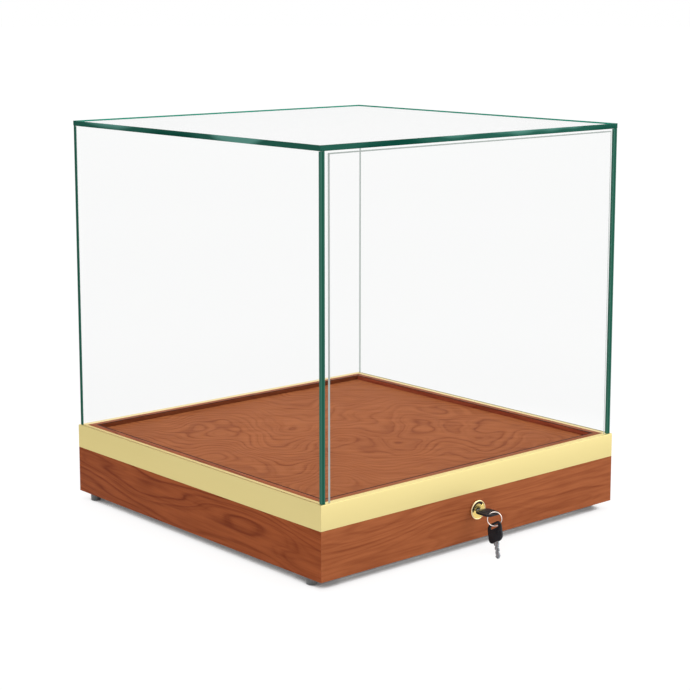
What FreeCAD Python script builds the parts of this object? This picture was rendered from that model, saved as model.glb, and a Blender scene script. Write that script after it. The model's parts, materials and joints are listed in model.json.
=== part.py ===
import FreeCAD, Part
import math
import os
import re
import Sketcher

from FreeCAD import Placement, Rotation, Vector

doc = FreeCAD.newDocument("display_case")
sheet = doc.addObject("Spreadsheet::Sheet", "Sizes")

# Driving dimensions in millimetres and degrees. The case stands on the counter at z = 0 and
# its locking front faces -Y. The origin is the middle of the whole plan, keys included.
sizes = {
    # Plinth
    "case_width": 457.0,
    "case_depth": 457.0,
    "case_setback": 23.9,
    "foot_height": 10.0,
    "skirt_height": 55.0,
    "wall_thickness": 18.0,
    "mitre_gap": 0.5,
    "bottom_thickness": 9.0,
    "bottom_gap": 1.5,
    "block_size": 20.0,
    "block_height": 42.0,
    # Metal rail round the top of the plinth
    "rail_height": 28.0,
    "rail_thickness": 1.5,
    "flange_width": 8.0,
    # Glass
    "hood_height": 370.5,
    "glass_thickness": 6.0,
    "glass_inset": 1.8,
    "bond_thickness": 0.4,
    "bond_inset": 0.5,
    "pane_side_gap": 4.0,
    "pane_top_gap": 2.2,
    # Pull-out deck
    "deck_step": 4.5,
    "deck_thickness": 15.0,
    "deck_gap": 1.5,
    "runner_thickness": 12.0,
    "runner_rear_gap": 39.0,
    "runner_floor": 5.0,
    "rear_rail_clearance": 4.0,
    "bracket_leg": 28.0,
    "bracket_thickness": 2.0,
    "bracket_width": 24.0,
    "bracket_screw_setback": 17.0,
    "bracket_bite": 7.0,
    # Telescopic slides
    "slide_length": 350.0,
    "slide_height": 35.0,
    "slide_width": 12.7,
    "slide_sheet": 1.2,
    "slide_clearance": 0.3,
    "slide_floor": 5.0,
    "slide_setback": 4.0,
    "slide_screw_inset": 42.0,
    "outer_member_width": 8.9,
    "inner_member_width": 8.3,
    # Feet
    "foot_diameter": 12.4,
    "foot_taper": 0.3,
    "foot_edge": 0.6,
    "foot_recess": 5.0,
    "foot_side_inset": 11.0,
    "front_foot_setback": 28.0,
    "rear_foot_setback": 18.0,
    # Screws
    "screw_diameter": 3.5,
    "screw_head_diameter": 7.0,
    "screw_head_height": 2.2,
    "head_bevel": 0.6,
    "screw_bite": 10.0,
    "screw_clearance": 0.05,
    "head_clearance": 0.4,
    # Cam lock
    "lock_height": 34.0,
    "lock_diameter": 19.0,
    "lock_length": 25.0,
    "rim_diameter": 22.4,
    "rim_width": 2.2,
    "rim_height": 2.6,
    "rim_bevel": 0.9,
    "rim_lip": 0.3,
    "face_height": 1.0,
    "plug_diameter": 13.6,
    "plug_height": 1.8,
    "plug_clearance": 0.05,
    "nut_flats": 24.0,
    "nut_thickness": 5.0,
    "cam_reach": 20.0,
    "cam_width": 14.0,
    "cam_thickness": 2.5,
    "cam_square": 7.0,
    "cam_screw_diameter": 4.0,
    "cam_screw_head": 9.0,
    "cam_screw_height": 3.0,
    "cam_screw_bite": 8.0,
    "strike_width": 40.0,
    "strike_height": 9.5,
    "strike_depth": 18.0,
    "strike_thickness": 2.0,
    "strike_play": 1.0,
    "strike_screw_spread": 24.0,
    "strike_screw_setback": 11.5,
    # Keys and ring
    "bow_length": 23.0,
    "bow_width": 21.0,
    "bow_thickness": 3.2,
    "bow_corner": 5.0,
    "bow_standoff": 5.0,
    "bow_bridge": 2.6,
    "bow_slot_length": 6.6,
    "bow_slot_width": 13.0,
    "tang_length": 9.0,
    "blade_length": 19.0,
    "blade_width": 7.0,
    "blade_thickness": 2.0,
    "blade_point": 2.2,
    "blade_taper": 3.3,
    "blade_groove": 0.5,
    "key_clearance": 0.15,
    "ring_radius": 8.0,
    "ring_wire": 1.4,
    "ring_play": 0.3,
    "ring_turn": 55.0,
    "ring_shift": 0.5,
    "spare_play": 0.6,
    "spare_twist": -35.0,
    "spare_lift": 0.4,
}
for row, (alias, number) in enumerate(sizes.items(), start=1):
    sheet.set(f"A{row}", alias)
    sheet.set(f"B{row}", str(number))
    sheet.setAlias(f"B{row}", alias)
doc.recompute()

# Every alias has an underscore, which tells it from a function's name in an expression.
alias_pattern = re.compile(r"\b[a-z]+(?:_[a-z]+)+\b")
parts = {}


def linked(text):
    return alias_pattern.sub(lambda found: "Sizes." + found.group(0), str(text))


def bind(item, name, text):
    item.setExpression(name, linked(text))


def number(text):
    return float(sheet.evalExpression(linked(text)))


def keep(node, item):
    item.Label = node
    parts[node] = item
    return item


def box(name, x, y, z):
    """A block between pairs of low and high values along X, Y and Z."""
    item = doc.addObject("Part::Box", name)
    for side, axis, (low, high) in zip(("Length", "Width", "Height"), "xyz", (x, y, z)):
        bind(item, side, f"({high}) - ({low})")
        bind(item, f"Placement.Base.{axis}", low)
    return item


# Turns that lay a shape's own Z axis along X, Y, Z or downwards
turns = {
    "x": Rotation(Vector(0, 1, 0), 90),
    "-x": Rotation(Vector(0, 1, 0), -90),
    "y": Rotation(Vector(1, 0, 0), -90),
    "-y": Rotation(Vector(1, 0, 0), 90),
    "z": Rotation(),
    "-z": Rotation(Vector(1, 0, 0), 180),
}


def aim(item, direction, start):
    """Put a shape's origin at start, with its own Z axis along the direction."""
    item.Placement = Placement(Vector(), turns[direction])
    for axis, text in zip("xyz", start):
        bind(item, f"Placement.Base.{axis}", text)
    return item


def rod(name, radius, length, direction, start):
    """A cylinder from start along the direction."""
    item = doc.addObject("Part::Cylinder", name)
    bind(item, "Radius", radius)
    bind(item, "Height", length)
    return aim(item, direction, start)


def cut(name, base, *tools):
    item = base
    for count, tool in enumerate(tools, start=1):
        step = doc.addObject("Part::Cut", name if count == len(tools) else f"{name}_step{count}")
        step.Base = item
        step.Tool = tool
        item = step
    return item


def fuse(name, *shapes):
    item = doc.addObject("Part::MultiFuse", name)
    item.Shapes = list(shapes)
    return item


def group(name, members):
    item = doc.addObject("Part::Compound", name)
    item.Links = list(members)
    return item


def outline(body, role, points):
    """A closed sketch of straight lines whose corners are bound to (across, up) expressions."""
    sketch = body.newObject("Sketcher::SketchObject", body.Name + "_outline")
    plane = next(part for part in body.Origin.OriginFeatures if part.Role == role)
    sketch.AttachmentSupport = [(plane, "")]
    sketch.MapMode = "FlatFace"
    places = [Vector(number(across), number(up), 0) for across, up in points]
    for start, end in zip(places, places[1:] + places[:1]):
        sketch.addGeometry(Part.LineSegment(start, end), False)
    last = len(points)
    for line in range(last):
        sketch.addConstraint(Sketcher.Constraint("Coincident", line, 2, (line + 1) % last, 1))
    for line, pair in enumerate(points):
        for kind, axis, text in zip(("DistanceX", "DistanceY"), (-2, -1), pair):
            if text == "0":
                sketch.addConstraint(Sketcher.Constraint("PointOnObject", line, 1, axis))
                continue
            place = sketch.addConstraint(Sketcher.Constraint(kind, -1, 1, line, 1, number(text)))
            bind(sketch, f"Constraints[{place}]", text)
    return sketch


def turned(name, profile):
    """A solid of revolution about its own Z axis, from (radius, height) corners."""
    body = doc.addObject("PartDesign::Body", name)
    sketch = outline(body, "XZ_Plane", profile)
    spin = body.newObject("PartDesign::Revolution", name + "_spin")
    spin.Profile = sketch
    spin.ReferenceAxis = (sketch, ["V_Axis"])
    spin.Angle = 360
    body.Tip = spin
    return body


def slab(name, points, thickness):
    """A plate of the outline's shape, centred on its own XY plane."""
    body = doc.addObject("PartDesign::Body", name)
    pad = body.newObject("PartDesign::Pad", name + "_pad")
    pad.Profile = outline(body, "XY_Plane", points)
    pad.SideType = "Symmetric"
    bind(pad, "Length", thickness)
    body.Tip = pad
    return body


# Levels above the counter and planes across the case
wall_foot = "foot_height"
rail_foot = "(foot_height + skirt_height)"
rim = "(foot_height + skirt_height + rail_height)"
glass_foot = f"({rim} + bond_thickness)"
glass_head = f"({rim} + hood_height - glass_thickness)"
deck_top = f"({rim} - deck_step)"
deck_foot = f"({deck_top} - deck_thickness)"
floor_top = "(foot_height + bottom_thickness)"
lock_axis = "(foot_height + lock_height)"
right_face = "(case_width / 2)"
back_face = "(case_setback + case_depth / 2)"
front_face = "(case_setback - case_depth / 2)"
inner_right = f"({right_face} - wall_thickness)"
inner_back = f"({back_face} - wall_thickness)"
inner_front = f"({front_face} + wall_thickness)"
glass_right = f"({right_face} - glass_inset)"
glass_back = f"({back_face} - glass_inset)"
glass_front = f"({front_face} + glass_inset)"
overrun = "wall_thickness"

# Quarter turns that carry a bar from the front of the case to each side
quarters = {"front": 0, "right": 90, "back": 180, "left": 270}


def bar(name, side, outer, inner, low, high, mitred=True):
    """A bar along one side, between two depths measured in from the case's outer face.

    Its ends are mitred at 45 degrees, or run past the corners. A side bar stops short of the
    front bar by the mitre gap.
    """
    along_width = side in ("front", "back")
    half = "case_width / 2" if along_width else "case_depth / 2"
    reach = "case_depth / 2" if along_width else "case_width / 2"
    item = doc.addObject("Part::Wedge", name)
    starts = {"right": " + mitre_gap"}
    stops = {"left": " - mitre_gap"}
    for corner, depth in (("", outer), ("2", inner)):
        trim = depth if mitred else f"-{overrun}"
        bind(item, f"X{corner}min", f"({trim}) - {half}{starts.get(side, '')}")
        bind(item, f"X{corner}max", f"{half} - ({trim}){stops.get(side, '')}")
        bind(item, f"Z{corner}min", low)
        bind(item, f"Z{corner}max", high)
    bind(item, "Ymin", f"({outer}) - {reach}")
    bind(item, "Ymax", f"({inner}) - {reach}")
    item.Placement = Placement(Vector(), Rotation(Vector(0, 0, 1), quarters[side]))
    bind(item, "Placement.Base.y", "case_setback")
    return item


def screw(name, direction, seat, grip, bite="screw_bite", head=True):
    """A pan head screw whose head sits on the seat and whose shank runs on through grip and bite."""
    length = f"({grip}) + {bite}"
    if not head:
        radius = "screw_diameter / 2 + screw_clearance"
        return rod(name, radius, f"{length} + screw_clearance", direction, seat)
    profile = [
        ("0", "-screw_head_height"),
        ("screw_head_diameter / 2 - head_bevel", "-screw_head_height"),
        ("screw_head_diameter / 2", "-screw_head_height + head_bevel"),
        ("screw_head_diameter / 2", "0"),
        ("screw_diameter / 2", "0"),
        ("screw_diameter / 2", length),
        ("0", length),
    ]
    return aim(turned(name, profile), direction, seat)


# Feet: short tapered bumpers with a recessed screw, under the side walls
foot_places = {
    "front_left_foot": (f"-{right_face} + foot_side_inset", f"{front_face} + front_foot_setback"),
    "front_right_foot": (f"{right_face} - foot_side_inset", f"{front_face} + front_foot_setback"),
    "rear_left_foot": (f"-{right_face} + foot_side_inset", f"{back_face} - rear_foot_setback"),
    "rear_right_foot": (f"{right_face} - foot_side_inset", f"{back_face} - rear_foot_setback"),
}
foot_hole = "screw_diameter / 2 + head_clearance"
foot_bore = "screw_head_diameter / 2 + head_clearance"
foot_profile = [
    (foot_bore, "0"),
    ("foot_diameter / 2 - foot_taper - foot_edge", "0"),
    ("foot_diameter / 2 - foot_taper", "foot_edge"),
    ("foot_diameter / 2", "foot_height"),
    (foot_hole, "foot_height"),
    (foot_hole, "foot_recess"),
    (foot_bore, "foot_recess"),
]
foot_grip = "foot_height - foot_recess"
for node, (across, along) in foot_places.items():
    keep(node, aim(turned(node, foot_profile), "z", (across, along, "0")))
keep("foot_screws", group("foot_screws", [
    screw(f"{node}_screw", "z", (across, along, "foot_recess"), foot_grip)
    for node, (across, along) in foot_places.items()
]))


def foot_pilots(side):
    return [
        screw(f"{node}_pilot", "z", (across, along, "foot_recess"), foot_grip, head=False)
        for node, (across, along) in foot_places.items() if side in node
    ]


# Telescopic slides. Each member is a channel nested in the next one, on both sides of the tray.
slide_start = f"({inner_front} + slide_setback)"
slide_low = f"({floor_top} + slide_floor)"
slide_centre = f"({slide_low} + slide_height / 2)"
slide_step = "(slide_sheet + slide_clearance)"
slide_screw_spots = ["slide_screw_inset", "slide_length / 2", "slide_length - slide_screw_inset"]
runner_outer = f"({inner_right} - slide_width)"
runner_inner = f"({runner_outer} - runner_thickness)"
runner_foot = f"({floor_top} + runner_floor)"


def span(sign, near, far):
    """A low and high pair of X values from two distances right of centre, mirrored for the left."""
    return (near, far) if sign > 0 else (f"-({far})", f"-({near})")


def channel(name, sign, wall_side, tray_side, drop, faces_tray):
    """A channel between two distances in from the wall, open towards the tray or the wall."""
    low = f"{slide_low} + {drop}"
    high = f"{slide_low} + slide_height - {drop}"
    end = f"{slide_start} + slide_length"
    across = span(sign, f"{inner_right} - ({tray_side})", f"{inner_right} - ({wall_side})")
    shell = box(f"{name}_shell", across, (slide_start, end), (low, high))
    near = f"{wall_side} + slide_sheet" if faces_tray else f"{wall_side} - {overrun}"
    far = f"{tray_side} + {overrun}" if faces_tray else f"{tray_side} - slide_sheet"
    inside = span(sign, f"{inner_right} - ({far})", f"{inner_right} - ({near})")
    hollow = box(f"{name}_hollow", inside, (f"{slide_start} - {overrun}", f"{end} + {overrun}"),
                 (f"{low} + slide_sheet", f"{high} - slide_sheet"))
    return cut(name, shell, hollow)


outer_screws, inner_screws = [], []
outer_pilots = {"left": [], "right": []}
inner_pilots = {"left": [], "right": []}
for hand, sign in (("left", -1), ("right", 1)):
    wall_at = inner_right if sign > 0 else f"-{inner_right}"
    seat_outer = f"{wall_at} - ({sign}) * slide_sheet"
    seat_inner = f"{wall_at} - ({sign}) * (slide_width - slide_sheet)"
    outward, inward = ("x", "-x") if sign > 0 else ("-x", "x")
    outer_holes, inner_holes = [], []
    for count, spot in enumerate(slide_screw_spots, start=1):
        at = f"{slide_start} + {spot}"
        tag = f"{hand}_{count}"
        # Flat heads lie within the outer member's web, so that the middle member runs past them
        countersink = doc.addObject("Part::Cone", f"outer_sink_{tag}")
        bind(countersink, "Radius1", "screw_head_diameter / 2 + screw_clearance")
        bind(countersink, "Radius2", "screw_diameter / 2 + screw_clearance")
        bind(countersink, "Height", "slide_sheet")
        outer_holes.append(aim(countersink, outward, (seat_outer, at, slide_centre)))
        flat = turned(f"outer_screw_{tag}", [
            ("0", "0"),
            ("screw_head_diameter / 2", "0"),
            ("screw_diameter / 2", "slide_sheet"),
            ("screw_diameter / 2", "slide_sheet + screw_bite"),
            ("0", "slide_sheet + screw_bite"),
        ])
        outer_screws.append(aim(flat, outward, (seat_outer, at, slide_centre)))
        outer_pilots[hand].append(
            screw(f"outer_pilot_{tag}", outward, (seat_outer, at, slide_centre), "slide_sheet", head=False))
        inner_screws.append(
            screw(f"inner_screw_{tag}", inward, (seat_inner, at, slide_centre), "slide_sheet"))
        inner_holes.append(
            screw(f"inner_hole_{tag}", inward, (seat_inner, at, slide_centre), "slide_sheet", head=False))
        inner_pilots[hand].append(
            screw(f"inner_pilot_{tag}", inward, (seat_inner, at, slide_centre), "slide_sheet", head=False))
    outer = channel(f"{hand}_slide_outer_channel", sign, "0", "outer_member_width", "0", True)
    keep(f"{hand}_slide_outer", cut(f"{hand}_slide_outer", outer, *outer_holes))
    middle = channel(f"{hand}_slide_middle", sign, slide_step, f"slide_width - {slide_step}",
                     slide_step, True)
    keep(f"{hand}_slide_middle", middle)
    inner = channel(f"{hand}_slide_inner_channel", sign, "slide_width - inner_member_width",
                    "slide_width", f"2 * {slide_step}", False)
    keep(f"{hand}_slide_inner", cut(f"{hand}_slide_inner", inner, *inner_holes))
keep("outer_slide_screws", group("outer_slide_screws", outer_screws))
keep("inner_slide_screws", group("inner_slide_screws", inner_screws))

# Tray: deck on two runners and a rear rail, tied to the front wall by steel angles
runner_z = (runner_foot, deck_foot)
runner_end = f"({inner_back} - block_size - runner_rear_gap)"
runner_y = (inner_front, runner_end)
deck_screw_spots = ["slide_length / 4", "slide_length * 3 / 4"]
deck_bore_top = f"({deck_foot} - screw_bite)"
deck_screws, deck_pilots = [], []
bracket_screws, front_pilots = [], []
for hand, sign in (("left", -1), ("right", 1)):
    middle_x = f"({sign}) * ({runner_inner} + runner_thickness / 2)"
    wells, holes = [], []
    for count, spot in enumerate(deck_screw_spots, start=1):
        seat = (middle_x, f"{slide_start} + {spot}", deck_bore_top)
        tag = f"{hand}_{count}"
        deck_screws.append(screw(f"deck_screw_{tag}", "z", seat, "screw_bite"))
        holes.append(screw(f"deck_hole_{tag}", "z", seat, "screw_bite", head=False))
        deck_pilots.append(screw(f"deck_pilot_{tag}", "z", seat, "screw_bite", head=False))
        depth = f"{deck_bore_top} - {runner_foot} + {overrun}"
        wells.append(rod(f"deck_well_{tag}", foot_bore, depth, "-z", seat))
    # Bracket: one leg on the runner's inner face, one on the front wall
    bracket_z = (f"{slide_centre} - bracket_width / 2", f"{slide_centre} + bracket_width / 2")
    leg_x = span(sign, f"{runner_inner} - bracket_thickness", runner_inner)
    foot_x = span(sign, f"{runner_inner} - bracket_leg", runner_inner)
    side_leg = box(f"{hand}_bracket_side", leg_x, (inner_front, f"{inner_front} + bracket_leg"), bracket_z)
    front_leg = box(f"{hand}_bracket_front", foot_x, (inner_front, f"{inner_front} + bracket_thickness"),
                    bracket_z)
    side_seat = (f"({sign}) * ({runner_inner} - bracket_thickness)",
                 f"{inner_front} + bracket_screw_setback", slide_centre)
    front_seat = (f"({sign}) * ({runner_inner} - bracket_screw_setback)",
                  f"{inner_front} + bracket_thickness", slide_centre)
    outward = "x" if sign > 0 else "-x"
    side_hole = screw(f"{hand}_bracket_side_hole", outward, side_seat, "bracket_thickness",
                      "bracket_bite", head=False)
    front_hole = screw(f"{hand}_bracket_front_hole", "-y", front_seat, "bracket_thickness", head=False)
    angle = fuse(f"{hand}_bracket_angle", side_leg, front_leg)
    keep(f"{hand}_front_bracket", cut(f"{hand}_front_bracket", angle, side_hole, front_hole))
    bracket_screws.append(screw(f"{hand}_bracket_side_screw", outward, side_seat, "bracket_thickness",
                                "bracket_bite"))
    bracket_screws.append(screw(f"{hand}_bracket_front_screw", "-y", front_seat, "bracket_thickness"))
    front_pilots.append(front_hole)
    board = box(f"{hand}_runner_board", span(sign, runner_inner, runner_outer), runner_y, runner_z)
    keep(f"{hand}_deck_runner",
         cut(f"{hand}_deck_runner", board, *holes, *wells, *inner_pilots[hand], side_hole))
keep("bracket_screws", group("bracket_screws", bracket_screws))
keep("deck_screws", group("deck_screws", deck_screws))
rear_rail_foot = f"{floor_top} + strike_height + rear_rail_clearance"
keep("rear_deck_rail", box("rear_deck_rail", (f"-{runner_inner}", runner_inner),
                           (f"{runner_end} - runner_thickness", runner_end), (rear_rail_foot, deck_foot)))
deck_right = f"({inner_right} - deck_gap)"
deck_board = box("deck_board", (f"-{deck_right}", deck_right), (inner_front, f"{inner_back} - deck_gap"),
                 (deck_foot, deck_top))
keep("deck_panel", cut("deck_panel", deck_board, *deck_pilots))

# Plinth walls, rebated so that the rail's skirt and flange lie flush
lock_hole = rod("front_wall_lock_hole", "lock_diameter / 2 + screw_clearance",
                f"wall_thickness + 2 * {overrun}", "y", ("0", f"{front_face} - {overrun}", lock_axis))
for side in quarters:
    node = f"{side}_wall"
    blank = bar(f"{node}_blank", side, "0", "wall_thickness", wall_foot, rim)
    skirt = bar(f"{node}_skirt_rebate", side, f"-{overrun}", "rail_thickness", rail_foot,
                f"{rim} + {overrun}", mitred=False)
    flange = bar(f"{node}_flange_rebate", side, f"-{overrun}", "flange_width",
                 f"{rim} - rail_thickness", f"{rim} + {overrun}", mitred=False)
    holes = []
    if side == "front":
        holes = [lock_hole, *front_pilots]
    elif side in outer_pilots:
        holes = outer_pilots[side] + foot_pilots(side)
    keep(node, cut(node, blank, skirt, flange, *holes))

# Metal rails: an angle with a skirt over the wall's face and a flange under the glass
for side in quarters:
    node = f"{side}_rail"
    blank = bar(f"{node}_blank", side, "0", "flange_width", rail_foot, rim)
    under = bar(f"{node}_under", side, "rail_thickness", f"flange_width + {overrun}",
                f"{rail_foot} - {overrun}", f"{rim} - rail_thickness", mitred=False)
    keep(node, cut(node, blank, under))

# Glass hood on clear bonding tape, and the front pane that comes out with the tray
pane_x = (f"{glass_right} - glass_thickness", glass_right)
pane_y = (glass_front, f"{glass_back} - glass_thickness")
pane_z = (glass_foot, glass_head)
hood_x = (f"-{glass_right}", glass_right)
keep("glass_left", box("glass_left", span(-1, *pane_x), pane_y, pane_z))
keep("glass_right", box("glass_right", span(1, *pane_x), pane_y, pane_z))
keep("glass_back", box("glass_back", hood_x, (f"{glass_back} - glass_thickness", glass_back), pane_z))
keep("glass_top", box("glass_top", hood_x, (glass_front, glass_back),
                      (glass_head, f"{glass_head} + glass_thickness")))
front_right = f"({glass_right} - glass_thickness - pane_side_gap)"
front_pane_y = (glass_front, f"{glass_front} + glass_thickness")
keep("glass_front", box("glass_front", (f"-{front_right}", front_right), front_pane_y,
                        (glass_foot, f"{glass_head} - pane_top_gap")))
tape_z = (rim, glass_foot)
tape_x = (f"{glass_right} - glass_thickness + bond_inset", f"{glass_right} - bond_inset")
tape_y = (f"{glass_front} + bond_inset", f"{glass_back} - glass_thickness")
keep("hood_bond_strips", group("hood_bond_strips", [
    box("bond_left", span(-1, *tape_x), tape_y, tape_z),
    box("bond_right", span(1, *tape_x), tape_y, tape_z),
    box("bond_back", (f"-{glass_right} + bond_inset", f"{glass_right} - bond_inset"),
        (f"{glass_back} - glass_thickness + bond_inset", f"{glass_back} - bond_inset"), tape_z),
]))
keep("front_bond_strip", box(
    "front_bond_strip", (f"-{front_right} + bond_inset", f"{front_right} - bond_inset"),
    (f"{glass_front} + bond_inset", f"{glass_front} + glass_thickness - bond_inset"), tape_z))

# Rear corner blocks, each screwed up through the bottom panel
block_screws, block_pilots, blocks = [], [], []
block_high = f"{floor_top} + block_height"
block_y = (f"{inner_back} - block_size", inner_back)
for hand, sign in (("left", -1), ("right", 1)):
    blocks.append(box(f"{hand}_block", span(sign, f"{inner_right} - block_size", inner_right), block_y,
                      (floor_top, block_high)))
    seat = (f"({sign}) * ({inner_right} - block_size / 2)", f"{inner_back} - block_size / 2", wall_foot)
    block_screws.append(screw(f"{hand}_block_screw", "z", seat, "bottom_thickness"))
    block_pilots.append(screw(f"{hand}_block_pilot", "z", seat, "bottom_thickness", head=False))
keep("rear_corner_blocks", cut("rear_corner_blocks", group("blocks", blocks), *block_pilots))
keep("block_screws", group("block_screws", block_screws))

# Strike: an angle on the bottom panel whose upright stands between the front wall and the cam
cam_front = f"({front_face} + lock_length)"
strike_back = f"({cam_front} - strike_play)"
strike_front = f"({strike_back} - strike_thickness)"
strike_x = ("-strike_width / 2", "strike_width / 2")
strike_high = f"{floor_top} + strike_thickness"
strike_base = box("strike_base", strike_x, (strike_front, f"{strike_front} + strike_depth"),
                  (floor_top, strike_high))
strike_post = box("strike_post", strike_x, (strike_front, strike_back),
                  (floor_top, f"{floor_top} + strike_height"))
strike_bite = "bottom_thickness - strike_thickness"
strike_seats = [
    (f"({sign}) * strike_screw_spread / 2", f"{strike_front} + strike_screw_setback", strike_high)
    for sign in (-1, 1)
]
strike_holes = [
    screw(f"strike_hole_{count}", "-z", seat, "strike_thickness", strike_bite, head=False)
    for count, seat in enumerate(strike_seats)
]
keep("lock_strike", cut("lock_strike", fuse("strike_angle", strike_base, strike_post), *strike_holes))
keep("strike_screws", group("strike_screws", [
    screw(f"strike_screw_{count}", "-z", seat, "strike_thickness", strike_bite)
    for count, seat in enumerate(strike_seats)
]))
bottom = box("bottom_board", (f"-{inner_right}", inner_right),
             (f"{inner_front} + bottom_gap", inner_back), (wall_foot, floor_top))
keep("bottom_panel", cut("bottom_panel", bottom, *block_pilots, *strike_holes))

# Cam lock. Its heights run from the front face into the case.
lock_seat = ("0", front_face, lock_axis)
lock_bore = "plug_diameter / 2 + plug_clearance"
rim_inner = "rim_diameter / 2 - rim_width"
lock_body = turned("lock_body", [
    (lock_bore, "-face_height"),
    (rim_inner, "-face_height"),
    (f"{rim_inner} + rim_lip", "-rim_height"),
    ("rim_diameter / 2 - rim_bevel", "-rim_height"),
    ("rim_diameter / 2", "-rim_height + rim_bevel"),
    ("rim_diameter / 2", "0"),
    ("lock_diameter / 2", "0"),
    ("lock_diameter / 2", "lock_length"),
    (lock_bore, "lock_length"),
])
keep("lock_body", aim(lock_body, "y", lock_seat))
nut_blank = doc.addObject("Part::Prism", "nut_blank")
nut_blank.Polygon = 6
bind(nut_blank, "Circumradius", "nut_flats / sqrt(3)")
bind(nut_blank, "Height", "nut_thickness")
nut_hole = rod("nut_hole", "lock_diameter / 2 + screw_clearance", f"nut_thickness + 2 * {overrun}",
               "y", ("0", f"{inner_front} - {overrun}", lock_axis))
keep("lock_nut", cut("lock_nut", aim(nut_blank, "y", ("0", inner_front, lock_axis)), nut_hole))

# Plug with a keyway at the front and a square tail through the cam
cam_back = f"({cam_front} + cam_thickness)"
key_tip = f"({front_face} - bow_standoff + blade_length)"
plug_core = rod("plug_core", "plug_diameter / 2", "plug_height + lock_length", "y",
                ("0", f"{front_face} - plug_height", lock_axis))
tail_half = "cam_square / 2"
plug_tail = box("plug_tail", (f"-{tail_half}", tail_half), (f"{cam_front} - cam_thickness", cam_back),
                (f"{lock_axis} - {tail_half}", f"{lock_axis} + {tail_half}"))
keyway = box("keyway", ("-blade_width / 2 - key_clearance", "blade_width / 2 + key_clearance"),
             (f"{front_face} - plug_height - {overrun}", f"{key_tip} + key_clearance"),
             (f"{lock_axis} - blade_thickness / 2 - key_clearance",
              f"{lock_axis} + blade_thickness / 2 + key_clearance"))
tail_hole = rod("tail_hole", "cam_screw_diameter / 2 + screw_clearance",
                "cam_screw_bite + screw_clearance", "-y", ("0", cam_back, lock_axis))
keep("lock_plug", cut("lock_plug", fuse("plug_blank", plug_core, plug_tail), keyway, tail_hole))
cam_y = (cam_front, cam_back)
cam_round = "cam_width / 2"
cam_arm = box("cam_arm", ("0", f"cam_reach - {cam_round}"), cam_y,
              (f"{lock_axis} - {cam_round}", f"{lock_axis} + {cam_round}"))
cam_hub = rod("cam_hub", cam_round, "cam_thickness", "y", ("0", cam_front, lock_axis))
cam_end = f"cam_reach - {cam_round}"
cam_tip = rod("cam_tip", cam_round, "cam_thickness", "y", (cam_end, cam_front, lock_axis))
cam_hole_half = f"({tail_half} + screw_clearance)"
cam_hole = box("cam_hole", (f"-{cam_hole_half}", cam_hole_half),
               (f"{cam_front} - {overrun}", f"{cam_back} + {overrun}"),
               (f"{lock_axis} - {cam_hole_half}", f"{lock_axis} + {cam_hole_half}"))
keep("lock_cam", cut("lock_cam", fuse("cam_blank", cam_arm, cam_hub, cam_tip), cam_hole))
cam_screw = turned("cam_screw", [
    ("0", "-cam_screw_height"),
    ("cam_screw_head / 2 - head_bevel", "-cam_screw_height"),
    ("cam_screw_head / 2", "-cam_screw_height + head_bevel"),
    ("cam_screw_head / 2", "0"),
    ("cam_screw_diameter / 2", "0"),
    ("cam_screw_diameter / 2", "cam_screw_bite"),
    ("0", "cam_screw_bite"),
])
keep("cam_screw", aim(cam_screw, "-y", ("0", cam_back, lock_axis)))


def key(bow_node, blade_node, place):
    """A key in its own frame: bow's outer end at the origin, tip along +Y, flat in XY."""
    bow = slab(f"{bow_node}_plate", [
        ("-bow_width / 2", "0"),
        ("bow_width / 2", "0"),
        ("bow_width / 2", "bow_length"),
        ("-bow_width / 2", "bow_length"),
    ], "bow_thickness")
    doc.recompute()
    plate = bow.Tip
    upright = [f"Edge{count}" for count, edge in enumerate(plate.Shape.Edges, start=1)
               if abs(edge.tangentAt(edge.FirstParameter).z) > 0.99]
    rounding = bow.newObject("PartDesign::Fillet", f"{bow_node}_corners")
    rounding.Base = (plate, upright)
    bind(rounding, "Radius", "bow_corner")
    bow.Tip = rounding
    slot = box(f"{bow_node}_slot", ("-bow_slot_width / 2", "bow_slot_width / 2"),
               ("bow_bridge", "bow_bridge + bow_slot_length"), ("-bow_thickness", "bow_thickness"))
    half = "blade_width / 2"
    tip = "bow_length + blade_length"
    steel = slab(f"{blade_node}_plate", [
        (f"-{half}", "bow_length - tang_length"),
        (half, "bow_length - tang_length"),
        (half, f"{tip} - blade_taper"),
        (f"{half} - blade_point", tip),
        (f"-{half} + blade_point", tip),
        (f"-{half}", f"{tip} - blade_taper"),
    ], "blade_thickness")
    pocket = box(f"{bow_node}_tang_pocket", (f"-{half}", half),
                 ("bow_length - tang_length", f"bow_length + {overrun}"),
                 ("-blade_thickness / 2", "blade_thickness / 2"))
    groove = box(f"{blade_node}_groove", ("-blade_groove", "blade_groove"),
                 ("bow_length", f"bow_length + blade_length + {overrun}"),
                 ("blade_thickness / 2 - blade_groove", "blade_thickness"))
    keep(bow_node, cut(bow_node, bow, slot, pocket)).Placement = place
    keep(blade_node, cut(blade_node, steel, groove)).Placement = place


# Key in the plug, flat and level
bow_end = Vector(0, number(f"{front_face} - bow_standoff - bow_length"), number(lock_axis))
key("key_bow", "key_blade", Placement(bow_end, Rotation()))

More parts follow.
